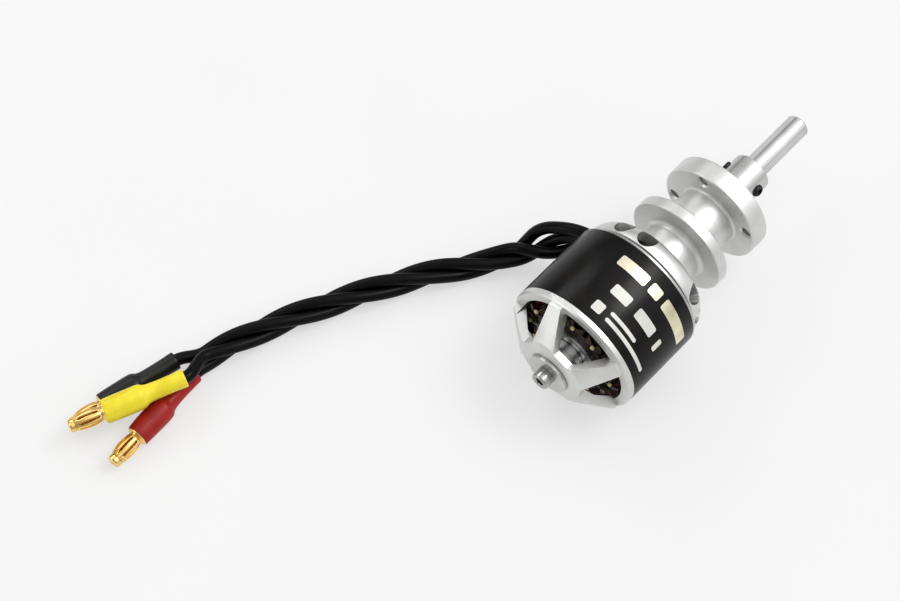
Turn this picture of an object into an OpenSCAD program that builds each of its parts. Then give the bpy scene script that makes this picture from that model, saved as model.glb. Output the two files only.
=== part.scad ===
// Brushless outrunner motor on a spool-shaped mount, with three twisted motor leads.
// +X runs along the shaft towards its output end, +Z is up and the motor lies on its can.
// The origin is on the shaft axis, in the outer face of the four-hole mounting flange.

/* [Can] */
// Outside diameter of the can, over the label
can_d = 35; // [34.8:0.1:35.4]
// Length of the label wrap along the can
label_l = 20.7; // [18:0.1:20.7]
// Thickness of the label wrap
label_t = 0.15; // [0.1:0.05:0.2]
// Wall of the steel flux ring
ring_t = 1.4; // [1.2:0.1:1.5]
// Number of rotor magnets
magnets_n = 14; // [10:2:14]
// Thickness of one magnet
magnet_t = 1.6; // [1.3:0.1:1.6]

/* [Bell] */
// Number of spokes in the bell
spokes_n = 5; // [5:1:5]
// Angle of the first spoke, from +Y towards +Z
spoke_angle = 0; // [0:1:71]
// Radius of the windows' outer edge
window_outer_r = 14.95; // [13:0.05:15]
// Radius of the windows' inner edge
window_inner_r = 8.6; // [8.4:0.1:9.2]
// Half the height of a window at its inner edge
window_inner_half = 2.2; // [1.8:0.1:2.4]
// Slope of a window's sides, from its centre line
window_slope = 46; // [42:1:48]
// Radius of the hub in front of the spokes
hub_r = 9.6; // [9.4:0.1:9.8]

/* [Stator] */
// Outside radius of the stator core
stator_r = 14; // [13.8:0.05:14.05]
// Number of stator teeth and coils
teeth_n = 12; // [12:1:12]
// Length of the stack of laminations
stack_l = 14; // [12:0.5:15]
// Thickness of the coils' end turns
end_turn_t = 3.9; // [1.5:0.1:4]

/* [Shaft] */
// Shaft diameter
shaft_d = 6; // [6:1:6]
// Output end of the shaft, from the mounting face
shaft_out = 28.7; // [24:0.1:34]
// Outer face of the head of the screw in the bell's end
screw_back = -65.5; // [-66:0.1:-64.5]
// Where the two flats begin
flat_start = 11.5; // [11.1:0.1:14]
// Depth of each flat
flat_depth = 0.2; // [0.1:0.05:0.2]
// Angle of the first flat, from +Y towards +Z
flat_a_angle = 47; // [0:1:90]
// Angle of the second flat
flat_b_angle = 160; // [120:1:200]

/* [Mount] */
// Diameter of the thick mounting flange
flange_d = 26.6; // [26:0.1:28]
// Thickness of the mounting flange
flange_t = 5.2; // [4.6:0.1:5.6]
// Diameter of the thin flange
collar_flange_d = 26.2; // [24:0.1:28]
// Thickness of the thin flange
collar_flange_t = 3; // [2:0.1:3.4]
// Diameter of the spool's neck
neck_d = 15.2; // [15:0.1:16]
// Circle through the four mounting holes
bolt_circle_d = 22; // [21:0.1:22.5]
// Tapping diameter of the mounting holes
bolt_hole_d = 2.5; // [2:0.1:2.6]
// Angle of the first mounting hole and the first pair of vents
hole_angle = 72; // [66:1:78]

/* [Leads] */
// Diameter of one lead
wire_d = 3; // [2.6:0.1:3]
// Length of one full twist of the leads
twist_pitch = 50; // [40:1:60]
// Angle that the twist of the leads is turned by
twist_turn = -10; // [-60:1:30]

/* [Hidden] */
$fn = 64;

// Stations along the shaft, in X
flange_back = -flange_t;
thin_flange_front = -14.4;
thin_flange_back = thin_flange_front - collar_flange_t;
base_end = -25.4;
base_back = -30.6;
ring_back_end = -31.1;
label_end = -31.95;
label_start = label_end - label_l;
rim_face = -54.3;
spoke_top = -55.3;
hub_front = -61.4;
washer_back = -61.9;
washer_t = 0.9;
tube_end = -55.3;
stack_mid = -43.5;
magnet_mid = -43;
boss_out = 2.4;

// Radii
can_r = can_d / 2;
shaft_r = shaft_d / 2;
ring_r = can_r - label_t;
ring_in_r = ring_r - ring_t;
magnet_in_r = ring_in_r - magnet_t;
neck_r = neck_d / 2;
tube_r = 7.5;
tube_bore_r = 5;
base_r = 16.4;
base_wall = 1.8;
shoulder_r = 4.5;
boss_r = 8;
spoke_end_r = 17;
washer_r = 5.5;
hub_face_r = 5.8;
edge_cut = 0.3;

// Where the tube flares into the base cup, from the cup's open end
flare_start = 3.4;
flare_end = 1.6;
flare_w = 2;
shoulder_start = 1;
shoulder_turn = 69;

// Shaft: a relief groove next to the collar, and a tapped hole in the bell's end
shaft_back = -61.8;
relief_w = 0.7;
relief_depth = 0.25;
shaft_tip = 0.5;
tapped_r = 1.25;
tapped_l = 8;

// Socket screw that clamps the bell and its washer to the end of the shaft
screw_head_r = 2.25;
screw_shank_r = 1.2;
screw_shank_l = 6.6;
screw_key_r = 1.15;
screw_key_l = 1.3;
screw_edge = 0.25;
washer_bore_r = 1.35;

// Ball bearings, 6 x 13 x 5
bearing_r = 6.5;
bearing_w = 5;
race_in_r = 4.15;
race_out_r = 5.35;
ball_r = 1;
ball_circle_r = 4.75;
balls_n = 7;
groove_gap = 0.03;
output_bearing = boss_out - bearing_w / 2;
bell_bearing = tube_end + bearing_w / 2;

// Shaft collar
collar_start = 3.4;
collar_end = 10.9;
collar_r = 5;
collar_screw_x = 6.8;
collar_screw_angles = [15, 165];
grub_r = 1.5;
grub_key_r = 0.75;
grub_key_l = 1;
grub_proud = 0.6;

// Stepped boss inside the bell's hub, which bears on the inner race
bell_boss_r = 5.2;
bell_boss_end = -57.4;
bell_boss_tip_r = 4;
bell_boss_tip_start = -57.2;
bell_boss_edge = 0.6;
inner_cone_start = -59.8;

// Coils
coil_w = 1.05;
tooth_w = 2.4;
tooth_root_r = 9.4;
shoe_t = 1.2;
slot_open = 1.8;
coil_in_r = 9.9;
coil_out_r = 12.4;
insulator_t = 0.4;

// Vents in the base, in pairs
vent_d = 5;
vent_x = -27.6;
vent_r = 15.6;
vent_tilt = 40;
vent_half_angle = 12.7;
vent_pairs = 3;

// Lead outlet in the base
outlet_x = -28.4;
outlet_z = -3.6;
outlet_half_z = 5.4;
outlet_half_x = 2;
outlet_min_y = 9;
outlet_in_y = 12.6;
outlet_y = 15.8;
lead_gap = 3.1;
grommet_hole_r = 1.45;
tail_r = 1.1;
tail_bend_y = 11;
tail_play = 0.1;

// Route of the middle of the three twisted leads, from inside the outlet to where they part
route = [
    [-28.4, 12.6, -3.6], [-28.4, 16.6, -3.6], [-29.4, 20.6, -4.9], [-31.1, 23.9, -7.4],
    [-34.1, 27.1, -9.3], [-38.1, 29.9, -12], [-43, 33.2, -13.8], [-48, 36.6, -14.2],
    [-54, 41, -14.2], [-60, 44.6, -14.2], [-67, 48.6, -14.2], [-74, 52.2, -14.2],
    [-81, 55.6, -14.2], [-88, 58.8, -14.2], [-95, 61.6, -14.2], [-102, 64, -14.2],
    [-108, 65.6, -14.2]
];
// Yellow, black and red connector: the mouth of each heat shrink
mouths = [[-117, 63.6, -9.4], [-114, 70.6, -14.4], [-113.5, 64.8, -14.4]];
// Way each connector points, from -X towards +Y
headings = [21.5, 11.5, -5];

rings_n = 23;
tube_sides = 8;
tube_d = 0.9 * wire_d;
twist_r = 1.75;
straight_l = 3;
blend_l = 24;
bulge = 1.6;
wire_in_sleeve = 5;

// Connector pieces
sleeve_neck_l = 11;
sleeve_neck_r = 2.2;
sleeve_body_r = 3.1;
sleeve_wall = 0.35;
sleeve_body_l = 9.3;
barrel_r = sleeve_body_r - sleeve_wall;
barrel_l = 8.6;
pin_r = 1.5;
pin_l = 8.6;
pin_tip_r = 1.7;
cage_r = 1.65;
cage_bulge = 0.4;
cage_wall = 0.3;
cage_l = 6.6;
cage_slots = 8;

// Turns a piece that is drawn along +Z so that it lies along +X
module along_x() {
    rotate([0, 90, 0]) children();
}

// Places a piece at an angle about the shaft, counted from +Y towards +Z
module at_angle(angle) {
    rotate([0, 0, angle + 90]) children();
}

// Round bar from one station to another
module bar(from, to, r) {
    translate([0, 0, from]) cylinder(r = r, h = to - from);
}

// Tube between two stations
module tube(from, to, outer, inner) {
    difference() {
        bar(from, to, outer);
        bar(from - 1, to + 1, inner);
    }
}

// Points of an arc, as [radius, station] pairs
function arc(centre, r, from, to, steps) =
    [for (i = [0 : steps]) let (a = from + (to - from) * i / steps)
        centre + r * [cos(a), sin(a)]];

// ---- Mount and stator ----

// Half outline of a flange that stands up from the neck, up to its outer face
function flange_edge(r, from, to) =
    [[neck_r, from], [r - edge_cut, from], [r, from + edge_cut],
        [r, to - edge_cut], [r - edge_cut, to]];

// Half outline of the turned mount: stator tube, base cup, spool and bearing boss
module mount_outline() {
    cup_r = base_r - base_wall;
    polygon(concat(
        [[shaft_r, tube_end], [tube_r, tube_end], [tube_r, base_back + flare_start],
            [cup_r - flare_w, base_back + flare_start], [cup_r, base_back + flare_end],
            [cup_r, base_back], [base_r, base_back]],
        arc([base_r - shoulder_r, base_back + shoulder_start], shoulder_r, 0, shoulder_turn, 8),
        [[neck_r, base_end]],
        flange_edge(collar_flange_d / 2, thin_flange_back, thin_flange_front),
        [[neck_r, thin_flange_front]],
        flange_edge(flange_d / 2, flange_back, 0),
        [[boss_r, 0], [boss_r, boss_out - edge_cut], [boss_r - edge_cut, boss_out], [shaft_r, boss_out]]
    ));
}

// One vent through the shoulder of the base
module vent() {
    translate([vent_r, 0, vent_x])
        rotate([0, 90 - vent_tilt, 0])
            cylinder(d = vent_d, h = 8, center = true);
}

// The notch in the base that the leads leave by
module lead_outlet() {
    translate([outlet_x - outlet_half_x - 1, 0, outlet_z - outlet_half_z])
        cube([2 * outlet_half_x + 1, outlet_y + 4, 2 * outlet_half_z]);
}

module mount_body() {
    color("silver") difference() {
        along_x() difference() {
            rotate_extrude() mount_outline();
            bar(tube_end - 1, boss_out + 1, tube_bore_r);
            bar(tube_end - 1, tube_end + bearing_w, bearing_r);
            bar(boss_out - bearing_w, boss_out + 1, bearing_r);
            for (i = [0 : 3])
                at_angle(hole_angle + 90 * i)
                    translate([bolt_circle_d / 2, 0, flange_back - 1])
                        cylinder(d = bolt_hole_d, h = flange_t + 2);
            for (i = [0 : vent_pairs - 1], side = [-1, 1])
                at_angle(hole_angle + 90 * i + side * vent_half_angle) vent();
        }
        intersection() {
            lead_outlet();
            translate([outlet_x - outlet_y, outlet_min_y, outlet_z - outlet_y]) cube(2 * outlet_y);
        }
    }
}

// Stator laminations: a ring with twelve teeth and their pole shoes
module lamination() {
    difference() {
        circle(r = stator_r);
        circle(r = tube_r);
        for (i = [0 : teeth_n - 1])
            rotate((i + 0.5) * 360 / teeth_n) translate([stator_r, 0]) square([6, slot_open], center = true);
        difference() {
            circle(r = stator_r - shoe_t);
            circle(r = tooth_root_r);
            for (i = [0 : teeth_n - 1])
                rotate(i * 360 / teeth_n) translate([0, -tooth_w / 2]) square([stator_r, tooth_w]);
        }
    }
}

module stator_core() {
    color("dimgray") along_x()
        translate([0, 0, stack_mid - stack_l / 2]) linear_extrude(stack_l) lamination();
}

// A thin red end plate on each face of the stack
module stator_insulators() {
    color("firebrick") along_x()
        for (z = [stack_mid - stack_l / 2 - insulator_t, stack_mid + stack_l / 2])
            translate([0, 0, z]) linear_extrude(insulator_t) lamination();
}

// One coil around a tooth
module coil() {
    inner_l = stack_l + 2 * insulator_t;
    outer_l = inner_l + 2 * end_turn_t;
    translate([(coil_in_r + coil_out_r) / 2, 0, stack_mid]) difference() {
        cube([coil_out_r - coil_in_r, tooth_w + 2 * coil_w, outer_l], center = true);
        cube([coil_out_r, tooth_w, inner_l], center = true);
    }
}

module windings() {
    color("saddlebrown") along_x()
        for (i = [0 : teeth_n - 1]) rotate(i * 360 / teeth_n) coil();
}

// Lead tails from the coils to the outlet
module winding_leads() {
    coil_face = stack_mid + stack_l / 2 + insulator_t + end_turn_t;
    color("black") for (i = [-1 : 1]) translate([0, 0, outlet_z + i * lead_gap]) {
        translate([coil_face, tail_bend_y, 0]) rotate([0, 90, 0])
            cylinder(r = tail_r, h = outlet_x - coil_face);
        translate([outlet_x, tail_bend_y, 0]) sphere(r = tail_r);
        translate([outlet_x, tail_bend_y, 0]) rotate([-90, 0, 0])
            cylinder(r = tail_r, h = outlet_in_y - tail_bend_y - tail_play);
    }
}

// Rubber block in the outlet, with a hole for each lead
module wire_grommet() {
    block = [2 * outlet_half_x, outlet_y - outlet_in_y, 2 * outlet_half_z];
    color("black") difference() {
        intersection() {
            translate([outlet_x - outlet_half_x, outlet_in_y, outlet_z - outlet_half_z]) cube(block);
            along_x() bar(outlet_x - block[0], outlet_x + block[0], outlet_y);
        }
        for (i = [-1 : 1])
            translate([outlet_x, outlet_y + 1, outlet_z + i * lead_gap]) rotate([90, 0, 0])
                cylinder(r = grommet_hole_r, h = block[1] + 2);
    }
}

// ---- Ball bearings ----

module groove(middle) {
    translate([0, 0, middle]) rotate_extrude() translate([ball_circle_r, 0]) circle(r = ball_r + groove_gap);
}

module outer_race(middle) {
    color("lightsteelblue") along_x() difference() {
        tube(middle - bearing_w / 2, middle + bearing_w / 2, bearing_r, race_out_r);
        groove(middle);
    }
}

module inner_race(middle) {
    color("lightsteelblue") along_x() difference() {
        tube(middle - bearing_w / 2, middle + bearing_w / 2, race_in_r, shaft_r);
        groove(middle);
    }
}

module balls(middle) {
    color("white") along_x() for (i = [0 : balls_n - 1])
        rotate(i * 360 / balls_n) translate([ball_circle_r, 0, middle]) sphere(r = ball_r);
}

module ball_cage(middle) {
    color("goldenrod") along_x() difference() {
        tube(middle - 1.4, middle + 1.4, ball_circle_r + 0.15, ball_circle_r - 0.15);
        for (i = [0 : balls_n - 1])
            rotate(i * 360 / balls_n) translate([ball_circle_r - 1, 0, middle])
                rotate([0, 90, 0]) cylinder(r = ball_r + groove_gap, h = 2);
    }
}

module output_bearing_outer_race() { outer_race(output_bearing); }
module output_bearing_inner_race() { inner_race(output_bearing); }
module output_bearing_balls() { balls(output_bearing); }
module output_bearing_cage() { ball_cage(output_bearing); }
module bell_bearing_outer_race() { outer_race(bell_bearing); }
module bell_bearing_inner_race() { inner_race(bell_bearing); }
module bell_bearing_balls() { balls(bell_bearing); }
module bell_bearing_cage() { ball_cage(bell_bearing); }

// A thin steel shield in each side of each bearing
module bearing_shields() {
    shield_t = 0.2;
    color("gray") along_x()
        for (middle = [output_bearing, bell_bearing], side = [-1, 1])
            let (z = middle + side * (bearing_w / 2 - 0.3))
                tube(z - shield_t / 2, z + shield_t / 2, race_out_r, race_in_r + 0.2);
}

// ---- Rotor ----

// Outline of one bell window in its own plane, centred on +X
module window_outline(outer_x) {
    corner_r = 1.2;
    side = window_inner_half;
    drop = corner_r * (1 - sin(window_slope)) / cos(window_slope);
    reach = side + (outer_x - window_inner_r) * tan(window_slope);
    upper = arc([window_inner_r + corner_r, side - drop], corner_r, 90 + window_slope, 180, 5);
    lower = arc([window_inner_r + corner_r, drop - side], corner_r, 180, 270 - window_slope, 5);
    polygon(concat([[outer_x, reach]], upper, lower, [[outer_x, -reach]]));
}

// Half outline of the bell without its windows
module bell_outline() {
    rim_in_r = ring_in_r - 1.2;
    skin_r = can_r - 0.05;
    rim_l = 1.4;
    polygon([
        [shaft_r, washer_back], [hub_face_r, washer_back], [hub_r, hub_front],
        [spoke_end_r - edge_cut, spoke_top], [spoke_end_r, spoke_top + edge_cut],
        [spoke_end_r, rim_face], [skin_r - 0.4, rim_face], [skin_r, rim_face + 0.5],
        [skin_r, label_start], [ring_in_r, label_start], [ring_in_r, label_start + rim_l],
        [rim_in_r, label_start + rim_l], [rim_in_r - 0.2, label_start - 1.2],
        [hub_r - bell_boss_edge, inner_cone_start],
        [bell_boss_r + bell_boss_edge, inner_cone_start],
        [bell_boss_r, inner_cone_start + bell_boss_edge], [bell_boss_r, bell_boss_end],
        [bell_boss_tip_r, bell_boss_tip_start], [bell_boss_tip_r, tube_end], [shaft_r, tube_end]
    ]);
}

module bell_end_cap() {
    below_face = 8;
    above_face = rim_face - washer_back + 1;
    color("gainsboro") along_x() difference() {
        rotate_extrude() bell_outline();
        for (i = [0 : spokes_n - 1])
            at_angle(spoke_angle + (i + 0.5) * 360 / spokes_n) {
                intersection() {
                    translate([0, 0, rim_face - above_face])
                        linear_extrude(above_face + below_face) window_outline(can_r + 2);
                    bar(rim_face - above_face, rim_face + below_face, window_outer_r);
                }
                translate([0, 0, rim_face - above_face])
                    linear_extrude(above_face) window_outline(can_r + 2);
            }
    }
}

// Steel ring that carries the magnets
module flux_ring() {
    lead = 0.4;
    color("dimgray") along_x() difference() {
        union() {
            bar(label_start, ring_back_end - lead, ring_r);
            translate([0, 0, ring_back_end - lead])
                cylinder(r1 = ring_r, r2 = ring_r - lead, h = lead);
        }
        bar(label_start - 1, ring_back_end + 1, ring_in_r);
    }
}

module magnets() {
    magnet_l = stack_l + 1.5;
    magnet_gap = 0.9;
    color("darkslategray") along_x() difference() {
        tube(magnet_mid - magnet_l / 2, magnet_mid + magnet_l / 2, ring_in_r, magnet_in_r);
        for (i = [0 : magnets_n - 1])
            rotate((i + 0.5) * 360 / magnets_n)
                translate([0, -magnet_gap / 2, magnet_mid - magnet_l / 2 - 1])
                    cube([can_r, magnet_gap, magnet_l + 2]);
    }
}

module label_wrap() {
    color("black") along_x() tube(label_start, label_end, can_r, ring_r);
}

// One flat on the shaft, as the block that is cut away
module flat_cut(angle) {
    at_angle(angle) translate([shaft_r - flat_depth, -shaft_r, flat_start])
        cube([shaft_r, shaft_d, shaft_out]);
}

module shaft() {
    color("white") along_x() difference() {
        union() {
            bar(shaft_back, shaft_out - shaft_tip, shaft_r);
            translate([0, 0, shaft_out - shaft_tip])
                cylinder(r1 = shaft_r, r2 = shaft_r - shaft_tip, h = shaft_tip);
        }
        tube(collar_end, collar_end + relief_w, shaft_r + 1, shaft_r - relief_depth);
        flat_cut(flat_a_angle);
        flat_cut(flat_b_angle);
        bar(shaft_back - 1, shaft_back + tapped_l, tapped_r);
    }
}

// Round washer between the bell's hub and the head of its screw
module hub_washer() {
    color("silver") along_x() tube(washer_back - washer_t, washer_back, washer_r, washer_bore_r);
}

// Socket head screw in the end of the shaft
module bell_screw() {
    head_front = washer_back - washer_t;
    color("gray") along_x() difference() {
        union() {
            bar(screw_back + screw_edge, head_front, screw_head_r);
            translate([0, 0, screw_back])
                cylinder(r1 = screw_head_r - screw_edge, r2 = screw_head_r, h = screw_edge);
            bar(head_front, head_front + screw_shank_l, screw_shank_r);
        }
        translate([0, 0, screw_back - 1]) cylinder(r = screw_key_r, h = screw_key_l + 1, $fn = 6);
    }
}

// Washer between the output bearing's inner race and the shaft collar
module thrust_washer() {
    color("silver") along_x() tube(boss_out, collar_start, race_in_r, shaft_r);
}

// Grub screw that points outwards from the shaft, with a hexagon socket
module grub_screw(from_r, to_r) {
    rotate([0, 90, 0]) difference() {
        translate([0, 0, from_r]) cylinder(r = grub_r, h = to_r - from_r);
        translate([0, 0, to_r - grub_key_l]) cylinder(r = grub_key_r, h = grub_key_l + 1, $fn = 6);
    }
}

module shaft_collar() {
    color("silver") along_x() difference() {
        tube(collar_start, collar_end, collar_r, shaft_r);
        for (angle = collar_screw_angles)
            at_angle(angle) translate([0, 0, collar_screw_x]) rotate([0, 90, 0])
                cylinder(r = grub_r, h = collar_r + 1);
    }
}

// The screws stop on the shaft and stand a little proud of the collar
module collar_grub_screws() {
    color("black") along_x() difference() {
        for (angle = collar_screw_angles)
            at_angle(angle) translate([0, 0, collar_screw_x])
                grub_screw(shaft_r / 2, collar_r + grub_proud);
        bar(collar_start, collar_end, shaft_r);
    }
}

// ---- Leads and connectors ----

function unit(v) = v / norm(v);

// Point k of a list, continued in a straight line past its ends
function point_at(list, k) =
    k < 0 ? 2 * list[0] - list[1]
    : k >= len(list) ? 2 * list[len(list) - 1] - list[len(list) - 2]
    : list[k];

// Smooth curve that follows a list of points (a uniform cubic B-spline): u counts points
function curve(list, u) =
    let (i = min(floor(u), len(list) - 2), t = u - i, r = 1 - t,
        a = point_at(list, i - 1), b = point_at(list, i),
        c = point_at(list, i + 1), d = point_at(list, i + 2))
    (a * r * r * r + b * (3 * t * t * t - 6 * t * t + 4)
        + c * (3 * r * r * r - 6 * r * r + 4) + d * t * t * t) / 6;

// Length of the route up to u
function length_to(u, i = 0) =
    i >= len(route) - 1 || u <= i ? 0
    : min(u - i, 1) * norm(route[i + 1] - route[i]) + length_to(u, i + 1);

// Place of lead k in the bundle: side by side at the outlet, then a twisted triangle
function lead_point(k, u) =
    let (tangent = unit(curve(route, min(u + 0.01, len(route) - 1))
            - curve(route, max(u - 0.01, 0))),
        side = unit(cross(tangent, [0, 0, 1])), up = cross(side, tangent),
        s = max(length_to(u) - straight_l, 0), t = min(s / blend_l, 1), w = t * t * (3 - 2 * t),
        swell = 1 + bulge * w * (1 - w), turn = w * (twist_turn + 360 * s / twist_pitch),
        p = swell * ((1 - w) * lead_gap * (1 - k) + w * twist_r * cos(120 * k)),
        q = swell * w * twist_r * sin(120 * k))
    curve(route, u) + (p * cos(turn) - q * sin(turn)) * up + (p * sin(turn) + q * cos(turn)) * side;

function heading(k) = [-cos(headings[k]), sin(headings[k]), 0];

// Centre line of lead k, into its heat shrink
function lead_path(k) = concat(
    [for (i = [0 : rings_n - 1]) lead_point(k, (len(route) - 1) * i / (rings_n - 1))],
    [mouths[k] + 0.5 * heading(k), mouths[k] + wire_in_sleeve * heading(k)]);

// Ring of corners about point i of a path
function ring(path, i) =
    let (last = len(path) - 1,
        tangent = unit(path[min(i + 1, last)] - path[max(i - 1, 0)]),
        side = unit(cross(tangent, [0, 0, 1])), up = cross(side, tangent))
    [for (j = [0 : tube_sides - 1]) let (a = 360 * j / tube_sides)
        path[i] + tube_d / 2 * (cos(a) * up + sin(a) * side)];

// Tube swept along a path
module swept_tube(path) {
    n = tube_sides;
    last = len(path) - 1;
    corners = [for (i = [0 : last]) each ring(path, i)];
    walls = [for (i = [0 : last - 1], j = [0 : n - 1]) let (k = (j + 1) % n)
        each [[i * n + j, i * n + k, (i + 1) * n + k], [i * n + j, (i + 1) * n + k, (i + 1) * n + j]]];
    start_cap = [for (j = [1 : n - 2]) [0, j + 1, j]];
    end_cap = [for (j = [1 : n - 2]) [last * n, last * n + j, last * n + j + 1]];
    polyhedron(points = corners, faces = concat(walls, start_cap, end_cap));
}

module yellow_lead() { color("black") swept_tube(lead_path(0)); }
module black_lead() { color("black") swept_tube(lead_path(1)); }
module red_lead() { color("black") swept_tube(lead_path(2)); }

// Puts a connector piece, drawn along +Z from the mouth of its heat shrink, in place
module on_lead(k) {
    translate(mouths[k]) rotate([0, 90, 180 - headings[k]]) children();
}

// Shrunk sleeve: narrow over the wire, wide over the connector's barrel
module heat_shrink(k) {
    total = sleeve_neck_l + sleeve_body_l;
    step_l = 1;
    on_lead(k) rotate_extrude() polygon([
        [0.5 * wire_d, 0], [sleeve_neck_r, 0], [sleeve_neck_r, sleeve_neck_l - step_l],
        [sleeve_body_r, sleeve_neck_l], [sleeve_body_r, total], [barrel_r, total],
        [barrel_r, sleeve_neck_l + sleeve_wall], [0.5 * wire_d, sleeve_neck_l + sleeve_wall]
    ]);
}

module yellow_heat_shrink() { color("yellow") heat_shrink(0); }
module black_heat_shrink() { color("black") heat_shrink(1); }
module red_heat_shrink() { color("firebrick") heat_shrink(2); }

// Turned pin: solder barrel, core inside the cage, and a round tip
module bullet_pin(k) {
    start = sleeve_neck_l + sleeve_wall + 0.05;
    step = sleeve_neck_l + sleeve_body_l;
    tip = step + pin_l;
    color("gold") on_lead(k) rotate_extrude() polygon([
        [0, start], [barrel_r - 0.05, start], [barrel_r - 0.05, step + 0.2], [pin_r - 0.25, step + 0.3],
        [pin_r - 0.25, tip - 1.3], [pin_tip_r, tip - 1.2], [pin_tip_r, tip - 0.5],
        [pin_tip_r - 0.5, tip], [0.5, tip], [0.5, tip - 1], [0, tip - 1]
    ]);
}

module yellow_bullet_pin() { bullet_pin(0); }
module black_bullet_pin() { bullet_pin(1); }
module red_bullet_pin() { bullet_pin(2); }

// Slotted spring cage with a bulged middle
module bullet_cage(k) {
    start = sleeve_neck_l + sleeve_body_l + 0.4;
    steps = 8;
    outer = [for (i = [0 : steps]) [cage_r + cage_bulge * sin(180 * i / steps), start + cage_l * i / steps]];
    inner = [for (i = [steps : -1 : 0])
        [cage_r - cage_wall + cage_bulge * sin(180 * i / steps), start + cage_l * i / steps]];
    color("gold") on_lead(k) difference() {
        rotate_extrude() polygon(concat(outer, inner));
        for (i = [0 : cage_slots - 1])
            rotate(i * 360 / cage_slots) translate([0.9, -0.2, start + 1]) cube([2, 0.4, cage_l - 2]);
    }
}

module yellow_bullet_cage() { bullet_cage(0); }
module black_bullet_cage() { bullet_cage(1); }
module red_bullet_cage() { bullet_cage(2); }

mount_body();
stator_core();
stator_insulators();
windings();
winding_leads();
output_bearing_outer_race();
output_bearing_inner_race();
output_bearing_cage();
output_bearing_balls();
bell_bearing_outer_race();
bell_bearing_inner_race();
bell_bearing_cage();
bell_bearing_balls();
bearing_shields();
wire_grommet();
bell_end_cap();
flux_ring();
magnets();
label_wrap();
shaft();
hub_washer();
bell_screw();
thrust_washer();
shaft_collar();
collar_grub_screws();
black_lead();
red_lead();
yellow_lead();
black_heat_shrink();
red_heat_shrink();
yellow_heat_shrink();
black_bullet_pin();
red_bullet_pin();
yellow_bullet_pin();
black_bullet_cage();
red_bullet_cage();
yellow_bullet_cage();
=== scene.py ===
"""Looks of the brushless outrunner motor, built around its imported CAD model.

Everything is in metres in the row frame: +X along the shaft out of the output end, +Z up,
the motor lying on its can. Angles about the shaft count from +Y towards +Z.
"""
import math
import random

import bmesh
import bpy
from mathutils import Matrix, Vector


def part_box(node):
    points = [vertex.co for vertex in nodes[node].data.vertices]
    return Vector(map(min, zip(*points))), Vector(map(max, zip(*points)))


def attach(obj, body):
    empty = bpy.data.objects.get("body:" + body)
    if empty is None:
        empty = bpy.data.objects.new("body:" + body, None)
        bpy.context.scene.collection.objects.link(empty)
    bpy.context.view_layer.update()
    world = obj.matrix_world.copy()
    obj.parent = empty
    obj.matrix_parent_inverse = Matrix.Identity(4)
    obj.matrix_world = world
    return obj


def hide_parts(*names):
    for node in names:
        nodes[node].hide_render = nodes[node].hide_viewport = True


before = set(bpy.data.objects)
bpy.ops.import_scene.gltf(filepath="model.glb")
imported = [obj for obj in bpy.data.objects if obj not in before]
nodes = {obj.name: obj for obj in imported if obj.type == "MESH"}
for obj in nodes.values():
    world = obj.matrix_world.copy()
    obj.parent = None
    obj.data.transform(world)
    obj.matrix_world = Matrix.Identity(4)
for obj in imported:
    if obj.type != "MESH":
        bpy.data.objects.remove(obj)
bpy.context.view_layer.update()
MM = 0.001
TAU = 2 * math.pi

# ---- Driving sizes, from the CAD model where it holds them, in millimetres ----


def node_span(node, axis):
    low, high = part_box(node)
    return low[axis] / MM, high[axis] / MM


LABEL_X = node_span("label_wrap", 0)
CAN_R = node_span("label_wrap", 2)[1]
RING_X = node_span("flux_ring", 0)
RING_R = node_span("flux_ring", 2)[1]
SHAFT_X = node_span("shaft", 0)
SHAFT_R = 3.0
SCREW_X = node_span("bell_screw", 0)
FLOOR_Z = -CAN_R
RING_INNER_R = 15.95
RIM_FACE = -54.3
TUBE_END = -55.3
COIL_FRONT = -54.8
WASHER_BACK = -62.8
HUB_FACE = -61.9
BOSS_FRONT = 2.4
COLLAR_BACK = 3.4
COLLAR_FRONT = 10.9
COLLAR_R = 5.0
GRUB_X = 6.8
GRUB_ANGLES = (15, 165)
SPOKES = 5
TEETH = 12
ON_AXIS = 0.01  # radius at which the outline of a solid turned piece closes


# ---- Mesh helpers ----


def polar(x, r, angle):
    """Point at a station, radius and angle about the shaft, in metres."""
    a = math.radians(angle)
    return Vector((x, r * math.cos(a), r * math.sin(a))) * MM


def about_shaft(angle):
    """Turns a shape drawn with its outward direction along +Y to an angle about the shaft."""
    return Matrix.Rotation(math.radians(angle), 4, "X")


def finish_mesh(name, mesh, body=None, material=None, sharp=35):
    """Makes an object of a mesh, smooth but for edges sharper than the given angle."""
    obj = bpy.data.objects.new(name, mesh)
    bpy.context.scene.collection.objects.link(obj)
    mesh.shade_smooth()
    mesh.set_sharp_from_angle(angle=math.radians(sharp))
    if material is not None:
        mesh.materials.append(material)
    if body is not None:
        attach(obj, body)
    return obj


def mesh_from(name, verts, faces):
    """Mesh of points and faces, with double points merged and its faces turned outwards."""
    mesh = bpy.data.meshes.new(name)
    mesh.from_pydata([tuple(v) for v in verts], [], faces)
    bm = bmesh.new()
    bm.from_mesh(mesh)
    bmesh.ops.remove_doubles(bm, verts=bm.verts, dist=1e-7)
    bmesh.ops.recalc_face_normals(bm, faces=bm.faces)
    bm.to_mesh(mesh)
    bm.free()
    return mesh


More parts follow.
